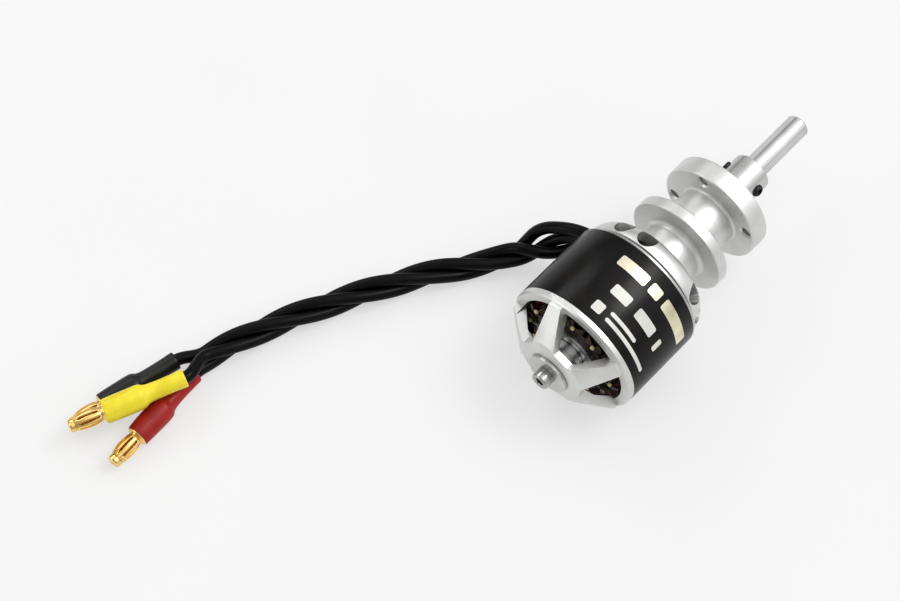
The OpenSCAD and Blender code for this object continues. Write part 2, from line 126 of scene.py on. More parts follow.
def fillet(outline, radii, steps=5):
    """Rounds the corners of a closed outline: radii maps a corner's index to its radius."""
    out = []
    count = len(outline)
    for i, corner in enumerate(outline):
        radius = radii.get(i, 0)
        here = Vector(corner)
        before = Vector(outline[i - 1]) - here
        after = Vector(outline[(i + 1) % count]) - here
        if radius <= 0:
            out.append(tuple(here))
            continue
        half = before.angle(after) / 2
        reach = min(radius / math.tan(half), 0.49 * before.length, 0.49 * after.length)
        radius = reach * math.tan(half)
        start = here + before.normalized() * reach
        end = here + after.normalized() * reach
        middle = (before.normalized() + after.normalized()).normalized()
        centre = here + middle * (radius / math.sin(half))
        for k in range(steps + 1):
            t = k / steps
            swing = (start - centre).lerp(end - centre, t)
            out.append(tuple(centre + swing.normalized() * radius))
    return out


def lathe(outline, turns):
    """Closed mesh of an outline of (station, radius) points turned about the shaft."""
    verts = []
    faces = []
    count = len(outline)
    for i in range(turns):
        angle = 360 * i / turns
        verts += [polar(x, r, angle) for x, r in outline]
    for i in range(turns):
        j = (i + 1) % turns
        for k in range(count):
            n = (k + 1) % count
            faces.append((i * count + k, i * count + n, j * count + n, j * count + k))
    return verts, faces


def lathed(name, outline, turns):
    return mesh_from(name, *lathe(outline, turns))


def prism(outline, x0, x1):
    """Points and faces of a (y, z) outline drawn out between two stations."""
    count = len(outline)
    verts = [Vector((x0, y, z)) * MM for y, z in outline]
    verts += [Vector((x1, y, z)) * MM for y, z in outline]
    faces = [tuple(range(count)), tuple(range(2 * count - 1, count - 1, -1))]
    faces += [(k, k + count, (k + 1) % count + count, (k + 1) % count) for k in range(count)]
    return verts, faces


def block(x_range, y_range, z_range):
    """Points and faces of a box between its low and high x, y and z."""
    y0, y1 = y_range
    z0, z1 = z_range
    return prism([(y0, z0), (y1, z0), (y1, z1), (y0, z1)], *x_range)


def rod(start, end, radius, sides):
    """Points and faces of a round bar between two points in metres."""
    start = Vector(start)
    along = Vector(end) - start
    turn = along.to_track_quat("Z", "Y").to_matrix()
    ring = [turn @ Vector((math.cos(TAU * k / sides), math.sin(TAU * k / sides), 0)) * radius * MM
            for k in range(sides)]
    verts = [start + p for p in ring] + [start + along + p for p in ring]
    faces = [tuple(range(sides - 1, -1, -1)), tuple(range(sides, 2 * sides))]
    faces += [(k, (k + 1) % sides, (k + 1) % sides + sides, k + sides) for k in range(sides)]
    return verts, faces


def cone(start, end, r0, r1, sides):
    """Points and faces of a round bar whose radius changes evenly from one end to the other."""
    verts, faces = rod(start, end, 1.0, sides)
    for k in range(sides):
        verts[k] = Vector(start) + (verts[k] - Vector(start)) * r0
        verts[k + sides] = Vector(end) + (verts[k + sides] - Vector(end)) * r1
    return verts, faces


def join(parts):
    """One list of points and faces out of several (verts, faces) pairs."""
    verts = []
    faces = []
    for more_verts, more_faces in parts:
        shift = len(verts)
        verts += more_verts
        faces += [tuple(k + shift for k in face) for face in more_faces]
    return verts, faces


def moved(part, matrix):
    """Points turned or shifted by a matrix, with their faces as they were."""
    return [matrix @ v for v in part[0]], part[1]


def carve(name, mesh, cutters, bevel, bevel_material, angle):
    """Object whose modifiers cut meshes out, then chamfer edges by a width in millimetres."""
    obj = bpy.data.objects.new(name, mesh)
    bpy.context.scene.collection.objects.link(obj)
    tools = []
    for k, cutter in enumerate(cutters):
        tool = bpy.data.objects.new(f"{name}_cutter_{k}", mesh_from(f"{name}_cutter_{k}", *cutter))
        bpy.context.scene.collection.objects.link(tool)
        cut = obj.modifiers.new(f"cut_{k}", "BOOLEAN")
        cut.operation = "DIFFERENCE"
        cut.solver = "EXACT"
        cut.object = tool
        tools.append(tool)
    edge = obj.modifiers.new("edge", "BEVEL")
    edge.width = bevel * MM
    edge.segments = 2
    edge.limit_method = "ANGLE"
    edge.angle_limit = math.radians(angle)
    edge.material = bevel_material
    edge.use_clamp_overlap = True
    return obj, tools


def carved(name, mesh, cutters, body, materials, bevel, bevel_material=0, angle=30):
    """A carved piece with its modifiers applied, riding on a body."""
    for one in materials:
        mesh.materials.append(one)
    obj, tools = carve(name, mesh, cutters, bevel, bevel_material, angle)
    graph = bpy.context.evaluated_depsgraph_get()
    result = bpy.data.meshes.new_from_object(obj.evaluated_get(graph), depsgraph=graph)
    for spare in [obj] + tools:
        bpy.data.objects.remove(spare)
    result.name = name
    done = finish_mesh(name, result)
    weigh = done.modifiers.new("weigh", "WEIGHTED_NORMAL")
    weigh.keep_sharp = True
    weigh.weight = 50
    graph = bpy.context.evaluated_depsgraph_get()
    done.data = bpy.data.meshes.new_from_object(done.evaluated_get(graph), depsgraph=graph)
    done.modifiers.clear()
    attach(done, body)
    return done


def tube_along(path, radius, sides, closed=False):
    """Points and faces of a round tube along points in metres."""
    verts = []
    faces = []
    count = len(path)
    normal = None
    for i, point in enumerate(path):
        ahead = path[(i + 1) % count] if closed or i + 1 < count else point
        behind = path[i - 1] if closed or i > 0 else point
        tangent = (ahead - behind).normalized()
        if normal is None:
            normal = tangent.orthogonal().normalized()
        normal = (normal - tangent * normal.dot(tangent)).normalized()
        other = tangent.cross(normal)
        for k in range(sides):
            swing = TAU * k / sides
            verts.append(point + (normal * math.cos(swing) + other * math.sin(swing)) * radius * MM)
    for i in range(count if closed else count - 1):
        j = (i + 1) % count
        for k in range(sides):
            n = (k + 1) % sides
            faces.append((i * sides + k, i * sides + n, j * sides + n, j * sides + k))
    if not closed:
        faces.append(tuple(range(sides - 1, -1, -1)))
        faces.append(tuple(range((count - 1) * sides, count * sides)))
    return verts, faces


# ---- Material helpers ----


def shader(name, **values):
    """A node material and its Principled shader, with plain values set on the shader's sockets."""
    material = bpy.data.materials.new(name)
    material.use_nodes = True
    surface = material.node_tree.nodes["Principled BSDF"]
    for key, value in values.items():
        surface.inputs[key.replace("_", " ")].default_value = value
    return material, surface


def add(material, kind, **settings):
    node = material.node_tree.nodes.new(kind)
    for key, value in settings.items():
        setattr(node, key, value)
    return node


def link(material, output, target):
    material.node_tree.links.new(output, target)


def object_place(material):
    return add(material, "ShaderNodeTexCoord").outputs["Object"]


def noise(material, size, detail, rough=0.5):
    """Noise whose grain is about size millimetres."""
    node = add(material, "ShaderNodeTexNoise")
    node.inputs["Scale"].default_value = 1 / (size * MM)
    node.inputs["Detail"].default_value = detail
    node.inputs["Roughness"].default_value = rough
    link(material, object_place(material), node.inputs["Vector"])
    return node.outputs["Fac"]


def turned(material, pitch):
    """Fine uneven rings about the shaft, as a turning tool leaves them: pitch in millimetres."""
    split = add(material, "ShaderNodeSeparateXYZ")
    link(material, object_place(material), split.inputs["Vector"])
    square_y = add(material, "ShaderNodeMath", operation="POWER")
    square_y.inputs[1].default_value = 2
    link(material, split.outputs["Y"], square_y.inputs[0])
    square_z = add(material, "ShaderNodeMath", operation="POWER")
    square_z.inputs[1].default_value = 2
    link(material, split.outputs["Z"], square_z.inputs[0])
    total = add(material, "ShaderNodeMath", operation="ADD")
    link(material, square_y.outputs[0], total.inputs[0])
    link(material, square_z.outputs[0], total.inputs[1])
    radius = add(material, "ShaderNodeMath", operation="SQRT")
    link(material, total.outputs[0], radius.inputs[0])
    place = add(material, "ShaderNodeCombineXYZ")
    link(material, split.outputs["X"], place.inputs["X"])
    link(material, radius.outputs[0], place.inputs["Y"])
    node = add(material, "ShaderNodeTexNoise")
    node.inputs["Scale"].default_value = 1 / (pitch * MM)
    node.inputs["Detail"].default_value = 2.0
    link(material, place.outputs["Vector"], node.inputs["Vector"])
    return node.outputs["Fac"]


NOISE_LOW = 0.3
NOISE_HIGH = 0.7


def spread(material, source, low, high):
    """Maps the range that noise mostly stays in to a range of numbers."""
    node = add(material, "ShaderNodeMapRange")
    node.inputs["From Min"].default_value = NOISE_LOW
    node.inputs["From Max"].default_value = NOISE_HIGH
    node.inputs["To Min"].default_value = low
    node.inputs["To Max"].default_value = high
    link(material, source, node.inputs["Value"])
    return node.outputs["Result"]


def tint(material, source, dark, light):
    """Maps the range that noise mostly stays in to a run of colour."""
    node = add(material, "ShaderNodeValToRGB")
    node.color_ramp.elements[0].position = NOISE_LOW
    node.color_ramp.elements[0].color = (*dark, 1)
    node.color_ramp.elements[1].position = NOISE_HIGH
    node.color_ramp.elements[1].color = (*light, 1)
    link(material, source, node.inputs["Fac"])
    return node.outputs["Color"]


def bump(material, source, depth, under=None):
    """Bump of a depth in millimetres, on top of another bump if given."""
    node = add(material, "ShaderNodeBump")
    node.inputs["Distance"].default_value = depth * MM
    node.inputs["Strength"].default_value = 1.0
    link(material, source, node.inputs["Height"])
    if under is not None:
        link(material, under, node.inputs["Normal"])
    return node.outputs["Normal"]


def metal(name, dark, light, rough, grain, grain_depth, turning=None):
    """Metal with a fine grain, uneven gloss and, if asked, turning marks."""
    material, surface = shader(name, Metallic=1.0)
    fine = noise(material, grain, 4.0, 0.6)
    broad = noise(material, 6.0, 3.0, 0.55)
    link(material, tint(material, broad, dark, light), surface.inputs["Base Color"])
    link(material, spread(material, fine, *rough), surface.inputs["Roughness"])
    normal = bump(material, fine, grain_depth)
    if turning is not None:
        pitch, depth = turning
        normal = bump(material, turned(material, pitch), depth, under=normal)
    link(material, normal, surface.inputs["Normal"])
    return material


def plastic(name, dark, light, rough, grain, grain_depth, **values):
    """Plastic or rubber with a slightly uneven colour, gloss and surface."""
    material, surface = shader(name, **values)
    fine = noise(material, grain, 3.0)
    broad = noise(material, 5.0, 2.0)
    link(material, tint(material, broad, dark, light), surface.inputs["Base Color"])
    link(material, spread(material, broad, *rough), surface.inputs["Roughness"])
    link(material, bump(material, fine, grain_depth), surface.inputs["Normal"])
    return material


BLASTED = metal("blasted_aluminium", (0.68, 0.685, 0.675), (0.76, 0.765, 0.755),
                (0.36, 0.50), 0.16, 0.012)
BRIGHT_CUT = metal("bright_cut_aluminium", (0.76, 0.76, 0.755), (0.86, 0.86, 0.855),
                   (0.20, 0.30), 0.3, 0.004, (0.09, 0.003))
TURNED_ALUMINIUM = metal("turned_aluminium", (0.56, 0.56, 0.555), (0.64, 0.64, 0.635),
                         (0.24, 0.36), 0.2, 0.004, (0.12, 0.006))
PLATED_RING = metal("plated_ring_steel", (0.48, 0.48, 0.475), (0.58, 0.58, 0.57),
                    (0.20, 0.34), 0.25, 0.004, (0.15, 0.004))
GROUND_STEEL = metal("ground_shaft_steel", (0.58, 0.58, 0.585), (0.68, 0.68, 0.685),
                     (0.10, 0.20), 0.3, 0.002, (0.07, 0.0015))
BEARING_STEEL = metal("bearing_steel", (0.66, 0.66, 0.67), (0.80, 0.80, 0.81),
                      (0.12, 0.24), 0.3, 0.002, (0.08, 0.002))
BALL_STEEL = metal("ball_steel", (0.80, 0.80, 0.81), (0.88, 0.88, 0.89), (0.05, 0.12), 0.5, 0.001)
SHIELD_STEEL = metal("shield_steel", (0.50, 0.50, 0.51), (0.64, 0.64, 0.65), (0.24, 0.38), 0.2, 0.004)
CAGE_BRASS = metal("cage_brass", (0.62, 0.44, 0.17), (0.76, 0.58, 0.26), (0.25, 0.4), 0.2, 0.004)
LAMINATION = metal("lamination_steel", (0.16, 0.15, 0.14), (0.28, 0.26, 0.24), (0.4, 0.6), 0.1, 0.01)
SCREW_STEEL = metal("zinc_screw_steel", (0.42, 0.42, 0.41), (0.56, 0.56, 0.55), (0.16, 0.3), 0.15, 0.004)
MAGNET = metal("magnet_nickel", (0.45, 0.44, 0.43), (0.58, 0.57, 0.55), (0.2, 0.36), 0.3, 0.004)
BLACK_OXIDE = metal("black_oxide_steel", (0.035, 0.035, 0.037), (0.07, 0.07, 0.073),
                    (0.28, 0.45), 0.12, 0.006)
GOLD = metal("gold_plate", (0.80, 0.55, 0.20), (0.93, 0.70, 0.32), (0.12, 0.24), 0.2, 0.006,
             (0.2, 0.002))
# Enamelled copper wire with its colour darkened to near black brown: painted shade that stands in for the
# shade deep inside the bell, not the wire's own colour.
COPPER_WITH_PAINTED_SHADE = plastic("enamelled_copper", (0.030, 0.015, 0.009), (0.075, 0.036, 0.018), (0.2, 0.36),
                 0.3, 0.01, Metallic=0.35, Coat_Weight=0.6, Coat_Roughness=0.12)
FIBRE = plastic("red_fibre", (0.26, 0.02, 0.015), (0.40, 0.045, 0.03), (0.45, 0.6), 0.08, 0.01)
SILICONE = plastic("black_silicone", (0.003, 0.003, 0.0035), (0.007, 0.007, 0.0075), (0.26, 0.36),
                   0.12, 0.006, Specular_IOR_Level=0.2)
RUBBER = plastic("grommet_rubber", (0.012, 0.012, 0.012), (0.03, 0.03, 0.03), (0.55, 0.7), 0.1, 0.012)
LABEL = plastic("black_label", (0.003, 0.003, 0.004), (0.010, 0.008, 0.006), (0.24, 0.32),
                0.5, 0.004, Specular_IOR_Level=0.30, Coat_Weight=0.06, Coat_Roughness=0.1)
YELLOW_SHRINK = plastic("yellow_shrink", (0.80, 0.66, 0.03), (0.92, 0.80, 0.06), (0.32, 0.45),
                        0.7, 0.02, Subsurface_Weight=0.08)
RED_SHRINK = plastic("red_shrink", (0.30, 0.012, 0.01), (0.42, 0.022, 0.018), (0.32, 0.45), 0.7, 0.02)
BLACK_SHRINK = plastic("black_shrink", (0.008, 0.008, 0.008), (0.02, 0.02, 0.02), (0.32, 0.46), 0.7, 0.02)
FOIL = metal("gold_foil", (0.66, 0.60, 0.42), (0.88, 0.84, 0.70), (0.22, 0.4), 0.25, 0.004)
PALE_INK = plastic("pale_ink", (0.62, 0.62, 0.58), (0.74, 0.74, 0.70), (0.3, 0.45), 0.2, 0.003)
SEALANT = plastic("cream_sealant", (0.50, 0.42, 0.20), (0.72, 0.64, 0.38), (0.3, 0.45), 0.4, 0.03)

# ---- Camera ----

CAMERA_AT = Vector((-234.3, -129.6, 450.8)) * MM
CAMERA_AIM = Vector((-58.6, 34.0, -14.0)) * MM
camera_data = bpy.data.cameras.new("camera")
camera_data.lens = 87.6
camera_data.sensor_width = 36
camera = bpy.data.objects.new("camera", camera_data)
camera.location = CAMERA_AT
camera.rotation_euler = (CAMERA_AIM - CAMERA_AT).to_track_quat("-Z", "Y").to_euler()
bpy.context.scene.collection.objects.link(camera)
bpy.context.scene.camera = camera

# ---- Leads: three cords twisted together, on the route that the CAD model has ----

WIRE_D = 3.0
WIRE_IN_SLEEVE = 5.0
TWIST_PITCH = 50.0
TWIST_TURN = -10.0
TWIST_R = 1.75
LEAD_GAP = 3.1
STRAIGHT_L = 3.0
BLEND_L = 24.0
BULGE = 1.6
ROUTE = [Vector(p) for p in (
    (-28.4, 12.6, -3.6), (-28.4, 16.6, -3.6), (-29.4, 20.6, -4.9), (-31.1, 23.9, -7.4),
    (-34.1, 27.1, -9.3), (-38.1, 29.9, -12), (-43, 33.2, -13.8), (-48, 36.6, -14.2),
    (-54, 41, -14.2), (-60, 44.6, -14.2), (-67, 48.6, -14.2), (-74, 52.2, -14.2),
    (-81, 55.6, -14.2), (-88, 58.8, -14.2), (-95, 61.6, -14.2), (-102, 64, -14.2),
    (-108, 65.6, -14.2))]
COLOURS = ("yellow", "black", "red")
MOUTHS = [Vector(p) for p in ((-117, 63.6, -9.4), (-114, 70.6, -14.4), (-113.5, 64.8, -14.4))]
HEADINGS = (21.5, 11.5, -5)


def route_point(k):
    """Point k of the route, which goes straight on by one point at each end."""
    if k < 0:
        return 2 * ROUTE[0] - ROUTE[1]
    if k >= len(ROUTE):
        return 2 * ROUTE[-1] - ROUTE[-2]
    return ROUTE[k]


def route_at(u):
    """Smooth curve that follows the route (a uniform cubic B-spline): u counts points."""
    i = min(int(u), len(ROUTE) - 2)
    t = u - i
    r = 1 - t
    a, b, c, d = (route_point(i + k) for k in (-1, 0, 1, 2))
    return (a * r ** 3 + b * (3 * t ** 3 - 6 * t * t + 4)
            + c * (3 * r ** 3 - 6 * r * r + 4) + d * t ** 3) / 6


def length_to(u):
    """Length of the route's straight pieces up to u, in millimetres."""
    whole = int(u)
    total = sum((ROUTE[i + 1] - ROUTE[i]).length for i in range(min(whole, len(ROUTE) - 1)))
    if whole < len(ROUTE) - 1:
        total += (u - whole) * (ROUTE[whole + 1] - ROUTE[whole]).length
    return total


def lead_point(k, u):
    """Place of lead k: side by side at the outlet, then a twisted triangle."""
    last = len(ROUTE) - 1
    tangent = (route_at(min(u + 0.01, last)) - route_at(max(u - 0.01, 0))).normalized()
    side = tangent.cross(Vector((0, 0, 1))).normalized()
    up = side.cross(tangent)
    s = max(length_to(u) - STRAIGHT_L, 0)
    t = min(s / BLEND_L, 1)
    w = t * t * (3 - 2 * t)
    swell = 1 + BULGE * w * (1 - w)
    turn = math.radians(w * (TWIST_TURN + 360 * s / TWIST_PITCH))
    place = math.radians(120 * k)
    p = swell * ((1 - w) * LEAD_GAP * (1 - k) + w * TWIST_R * math.cos(place))
    q = swell * w * TWIST_R * math.sin(place)
    return (route_at(u) + (p * math.cos(turn) - q * math.sin(turn)) * up
            + (p * math.sin(turn) + q * math.cos(turn)) * side)


def heading(k):
    """Direction in which heat shrink k points away from the motor."""
    a = math.radians(HEADINGS[k])
    return Vector((-math.cos(a), math.sin(a), 0))


def lead_path(k):
    """Centre line of lead k in metres, from inside the outlet to inside its heat shrink."""
    last = len(ROUTE) - 1
    twist_steps = 110
    join_steps = 8
    path = [lead_point(k, last * i / twist_steps) for i in range(twist_steps + 1)]
    leave = (path[-1] - path[-2]).normalized()
    start = path[-1]
    mouth = MOUTHS[k] + 0.5 * heading(k)
    pull = 1.1 * (mouth - start).length
    for i in range(1, join_steps + 1):
        t = i / join_steps
        path.append(start * (2 * t ** 3 - 3 * t * t + 1) + leave * pull * (t ** 3 - 2 * t * t + t)
                    + mouth * (3 * t * t - 2 * t ** 3) + heading(k) * pull * (t ** 3 - t * t))
    path.append(MOUTHS[k] + WIRE_IN_SLEEVE * heading(k))
    return [p * MM for p in path]


def lead_curve(colour, path):
    """Wire of one colour's connector along its centre line, as a curve with a round section."""
    curve = bpy.data.curves.new(f"{colour}_wire", "CURVE")
    curve.dimensions = "3D"
    curve.bevel_depth = WIRE_D / 2 * MM
    curve.bevel_resolution = 8
    curve.use_fill_caps = True
    spline = curve.splines.new("POLY")
    spline.points.add(len(path) - 1)
    for point, place in zip(spline.points, path):
        point.co = (*place, 1)
    spline.use_smooth = True
    obj = bpy.data.objects.new(f"{colour}_wire", curve)
    bpy.context.scene.collection.objects.link(obj)
    curve.materials.append(SILICONE)
    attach(obj, "stator")
    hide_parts(f"{colour}_lead")
    return obj


leads = {}
for index, colour in enumerate(COLOURS):
    centre_line = lead_path(index)
    leads[colour] = (lead_curve(colour, centre_line), centre_line)

# ---- Connectors ----

SLEEVE_NECK = 11.0
SLEEVE_BODY = 9.3
PIN_L = 8.6
CAGE_L = 6.6
SLOTS = 8


def on_lead(k):
    """Places a piece drawn along +X from the mouth of heat shrink k."""
    turn = heading(k).to_track_quat("X", "Z").to_matrix().to_4x4()
    return Matrix.Translation(MOUTHS[k] * MM) @ turn


def heat_shrink(k, colour, material):
    """Shrunk sleeve: narrow on the wire, wide on the barrel, a little uneven all over."""
    random.seed(40 + k)
    neck_r = 2.2
    body_r = 3.1
    wall = 0.35
    total = SLEEVE_NECK + SLEEVE_BODY
    stations = [(0.0, neck_r - 0.02), (0.25, neck_r + 0.02), (3, neck_r - 0.1), (6, neck_r - 0.13),
                (8.6, neck_r - 0.08), (9.6, neck_r + 0.05), (10.2, neck_r + 0.34), (10.7, body_r - 0.2),
                (11.3, body_r - 0.04), (13, body_r - 0.02), (16, body_r - 0.06), (18.6, body_r - 0.1),
                (19.6, body_r - 0.16), (total - 0.12, body_r - 0.2), (total, body_r - 0.32)]
    inside = [(total, body_r - wall - 0.12), (12, body_r - wall), (9, neck_r - wall), (0, WIRE_D / 2)]
    sides = 72
    outline = stations + inside
    waves = [(random.uniform(2, 5), random.uniform(0, TAU), random.uniform(0.2, 0.7)) for _ in range(5)]
    verts = []
    for i in range(sides):
        a = TAU * i / sides
        for n, (x, r) in enumerate(outline):
            dent = 0.0
            if n < len(stations):
                dent = sum(math.sin(count * a + phase + pitch * x) for count, phase, pitch in waves)
                dent *= 0.022 * min(1.0, x / 2)
            lip = 0.22 * math.sin(a + k) if n == 0 or n == len(outline) - 1 else 0.0
            verts.append(Vector((x + lip * 0.5, (r + dent) * math.cos(a), (r + dent) * math.sin(a))) * MM)
    count = len(outline)
    faces = [(i * count + n, i * count + (n + 1) % count,
              (i + 1) % sides * count + (n + 1) % count, (i + 1) % sides * count + n)
             for i in range(sides) for n in range(count)]
    place = on_lead(k)
    mesh = mesh_from(f"{colour}_sleeve", [place @ v for v in verts], faces)
    obj = finish_mesh(f"{colour}_sleeve", mesh, material=material, sharp=60)
    smooth = obj.modifiers.new("smooth", "SUBSURF")
    smooth.levels = 1
    smooth.render_levels = 1
    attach(obj, "stator")
    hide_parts(f"{colour}_heat_shrink")
    return obj


def bullet_core(k, colour):
    """Turned pin: the barrel's shoulder, the core inside the cage and the round drilled tip."""
    barrel = 2.68
    start = SLEEVE_NECK + 0.4
    shoulder = SLEEVE_NECK + SLEEVE_BODY
    tip = shoulder + PIN_L
    outline = [(start, ON_AXIS), (start, barrel), (shoulder + 0.05, barrel),
               (shoulder + 0.3, barrel - 0.25), (shoulder + 0.3, 1.9), (shoulder + 0.55, 1.75),
               (shoulder + 0.6, 1.2), (tip - 1.5, 1.2),
               (tip - 1.4, 1.62), (tip - 0.55, 1.66), (tip - 0.25, 1.5), (tip - 0.05, 1.15),
               (tip, 0.8), (tip, 0.5), (tip - 0.15, 0.42), (tip - 1.2, 0.4), (tip - 1.3, ON_AXIS)]
    outline = fillet(outline, {2: 0.1, 3: 0.08, 9: 0.12, 10: 0.3, 11: 0.3, 12: 0.2}, 3)
    mesh = lathed(f"{colour}_pin", outline, 64)
    mesh.transform(on_lead(k))
    obj = finish_mesh(f"{colour}_pin", mesh, "stator", GOLD)
    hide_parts(f"{colour}_bullet_pin")
    return obj


def bullet_cage(k, colour):
    """Spring cage: two end bands joined by bulged leaves with rounded sides."""
    start = SLEEVE_NECK + SLEEVE_BODY + 0.45
    wall = 0.32
    rows = 26
    fan = 9
    parts = []

    def radius(t):
        return 1.62 + 0.5 * math.sin(math.pi * t) ** 0.9

    def leaf(middle):
        verts = []
        for row in range(rows + 1):
            t = row / rows
            x = start + CAGE_L * t
            gap = 0.30 * min(1.0, math.sin(math.pi * min(max((t - 0.08) / 0.84, 0), 1)) * 3.0)
            half = math.pi / SLOTS - gap / radius(t)
            for layer in (0, 1):
                for col in range(fan + 1):
                    s = 2 * col / fan - 1
                    crown = 0.10 * (1 - s * s) if layer == 0 else 0.0
                    r = radius(t) - layer * wall + crown - 0.06
                    a = middle + half * s
                    verts.append(Vector((x, r * math.cos(a), r * math.sin(a))) * MM)
        wide = fan + 1
        ring = 2 * wide
        faces = []
        for row in range(rows):
            a = row * ring
            b = a + ring
            faces += [(a + c, a + c + 1, b + c + 1, b + c) for c in range(fan)]
            faces += [(a + wide + c, b + wide + c, b + wide + c + 1, a + wide + c + 1) for c in range(fan)]
            faces += [(a, b, b + wide, a + wide), (a + fan, a + wide + fan, b + wide + fan, b + fan)]
        end = rows * ring
        faces += [(c, c + wide, c + wide + 1, c + 1) for c in range(fan)]
        faces += [(end + c, end + c + 1, end + c + wide + 1, end + c + wide) for c in range(fan)]
        return verts, faces

    for n in range(SLOTS):
        parts.append(leaf(TAU * (n + 0.5) / SLOTS))
    mesh = mesh_from(f"{colour}_cage", *join(parts))
    mesh.transform(on_lead(k))
    obj = finish_mesh(f"{colour}_cage", mesh, "stator", GOLD, sharp=50)
    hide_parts(f"{colour}_bullet_cage")
    return obj


SHRINKS = {"yellow": YELLOW_SHRINK, "black": BLACK_SHRINK, "red": RED_SHRINK}
for index, colour in enumerate(COLOURS):
    ends = [heat_shrink(index, colour, SHRINKS[colour]), bullet_core(index, colour),
            bullet_cage(index, colour)]
    wire, centre_line = leads[colour]

# ---- Mount: base cup, spool neck, flanges and bearing boss ----


def mount_body():
    """Base cup, stator tube, neck and two flanges in one piece, with holes, vents and lead outlet."""
    base_back = -30.6
    base_front = -25.4
    thin_back = -17.4
    thin_front = -14.4
    thick_back = -5.2
    front_seat_back = -2.6
    rear_seat_front = TUBE_END + 5
    seat_r = 6.5
    bore_r = 5
    tube_r = 7.5
    neck_r = 7.6
    boss_r = 8
    thin_r = 13.1
    thick_r = 13.3
    round_r = 4.5
    round_centre_r = 11.9
    outline = [(TUBE_END, seat_r), (TUBE_END, tube_r), (base_back + 3.4, tube_r), (base_back + 3.4, 12.6),
               (base_back + 1.6, 14.6), (base_back, 14.6), (base_back, 16.4)]
    for degrees in range(0, 70, 6):
        a = math.radians(degrees)
        outline.append((base_back + 1 + round_r * math.sin(a), round_centre_r + round_r * math.cos(a)))
    first = len(outline)
    outline += [(base_front, 13.4), (base_front, neck_r), (thin_back, neck_r), (thin_back, thin_r),
                (thin_front, thin_r), (thin_front, neck_r), (thick_back, neck_r), (thick_back, thick_r),
                (0, thick_r), (0, boss_r), (BOSS_FRONT, boss_r), (BOSS_FRONT, seat_r),
                (front_seat_back, seat_r), (front_seat_back, bore_r), (rear_seat_front, bore_r),
                (rear_seat_front, seat_r)]
    radii = {1: 0.25, 2: 0.4, 3: 0.5, 6: 0.25}
    spool_radii = (0.35, 1.1, 1.3, 0.35, 0.35, 1.3, 0.7, 0.45, 0.45, 0.3, 0.35, 0.2)
    radii.update({first + k: radius for k, radius in enumerate(spool_radii)})
    mesh = lathed("mount", fillet(outline, radii, 6), 216)
    bolt_circle_r = 11
    bolt_angle = 72
    hole_r = 1.25
    sink_r = 1.7
    holes = []
    sinks = []
    for i in range(4):
        angle = bolt_angle + 90 * i
        holes.append(rod(polar(-7, bolt_circle_r, angle), polar(2, bolt_circle_r, angle), hole_r, 40))
        for x0, x1 in ((thick_back - 0.01, -4.75), (0.01, -0.45)):
            sink_start = polar(x0, bolt_circle_r, angle)
            sink_end = polar(x1, bolt_circle_r, angle)
            sinks.append(cone(sink_start, sink_end, sink_r, hole_r, 40))
    vent_x = -27.6
    vent_centre_r = 15.6
    vent_r = 2.5
    vent_reach = 4
    vent_beside = 12.7
    vent_tilt = math.radians(50)
    vents = []
    for i in range(3):
        for side in (-1, 1):
            angle = bolt_angle + 90 * i + side * vent_beside
            centre = polar(vent_x, vent_centre_r, angle)
            out = (polar(0, 1, angle).normalized() * math.sin(vent_tilt)
                   + Vector((1, 0, 0)) * math.cos(vent_tilt))
            vents.append(rod(centre - out * vent_reach * MM, centre + out * vent_reach * MM, vent_r, 56))
    outlet = block((-31.4, -26.4), (9, 21), (-9, 1.8))
    obj = carved("mount", mesh, [join(holes), join(sinks), join(vents), outlet], "stator",
                 [BLASTED, BRIGHT_CUT], bevel=0.16, bevel_material=1, angle=38)
    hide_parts("mount_body")


mount_body()

# ---- Bell ----


def window(outer_edge, deep):
    """Outline of one bell window, centred on +Y: its outer edge an arc, or open past the rim."""
    corner_r = 1.2
    inner = 8.6
    side = 2.2
    slope = math.radians(46)
    drop = corner_r * (1 - math.sin(slope)) / math.cos(slope)

    def corner(sign):
        start = math.pi / 2 + slope
        swing = [start + (math.pi - start) * k / 6 for k in range(7)]
        middle = inner + corner_r
        points = [(middle + corner_r * math.cos(a), sign * (side - drop + corner_r * math.sin(a)))
                  for a in swing]
        return points if sign > 0 else points[::-1]

    if not deep:
        reach = side + (outer_edge - inner) * math.tan(slope)
        return [(outer_edge, reach)] + corner(1) + corner(-1) + [(outer_edge, -reach)]
    foot = side - inner * math.tan(slope)
    a = math.cos(slope) ** -2
    b = foot * math.tan(slope)
    y = (-b + math.sqrt(b * b - a * (foot * foot - outer_edge ** 2))) / a
    end = math.atan2(foot + y * math.tan(slope), y)
    arc = [(outer_edge * math.cos(t), outer_edge * math.sin(t))
           for t in [-end + 2 * end * k / 20 for k in range(21)]]
    return corner(1) + corner(-1) + arc


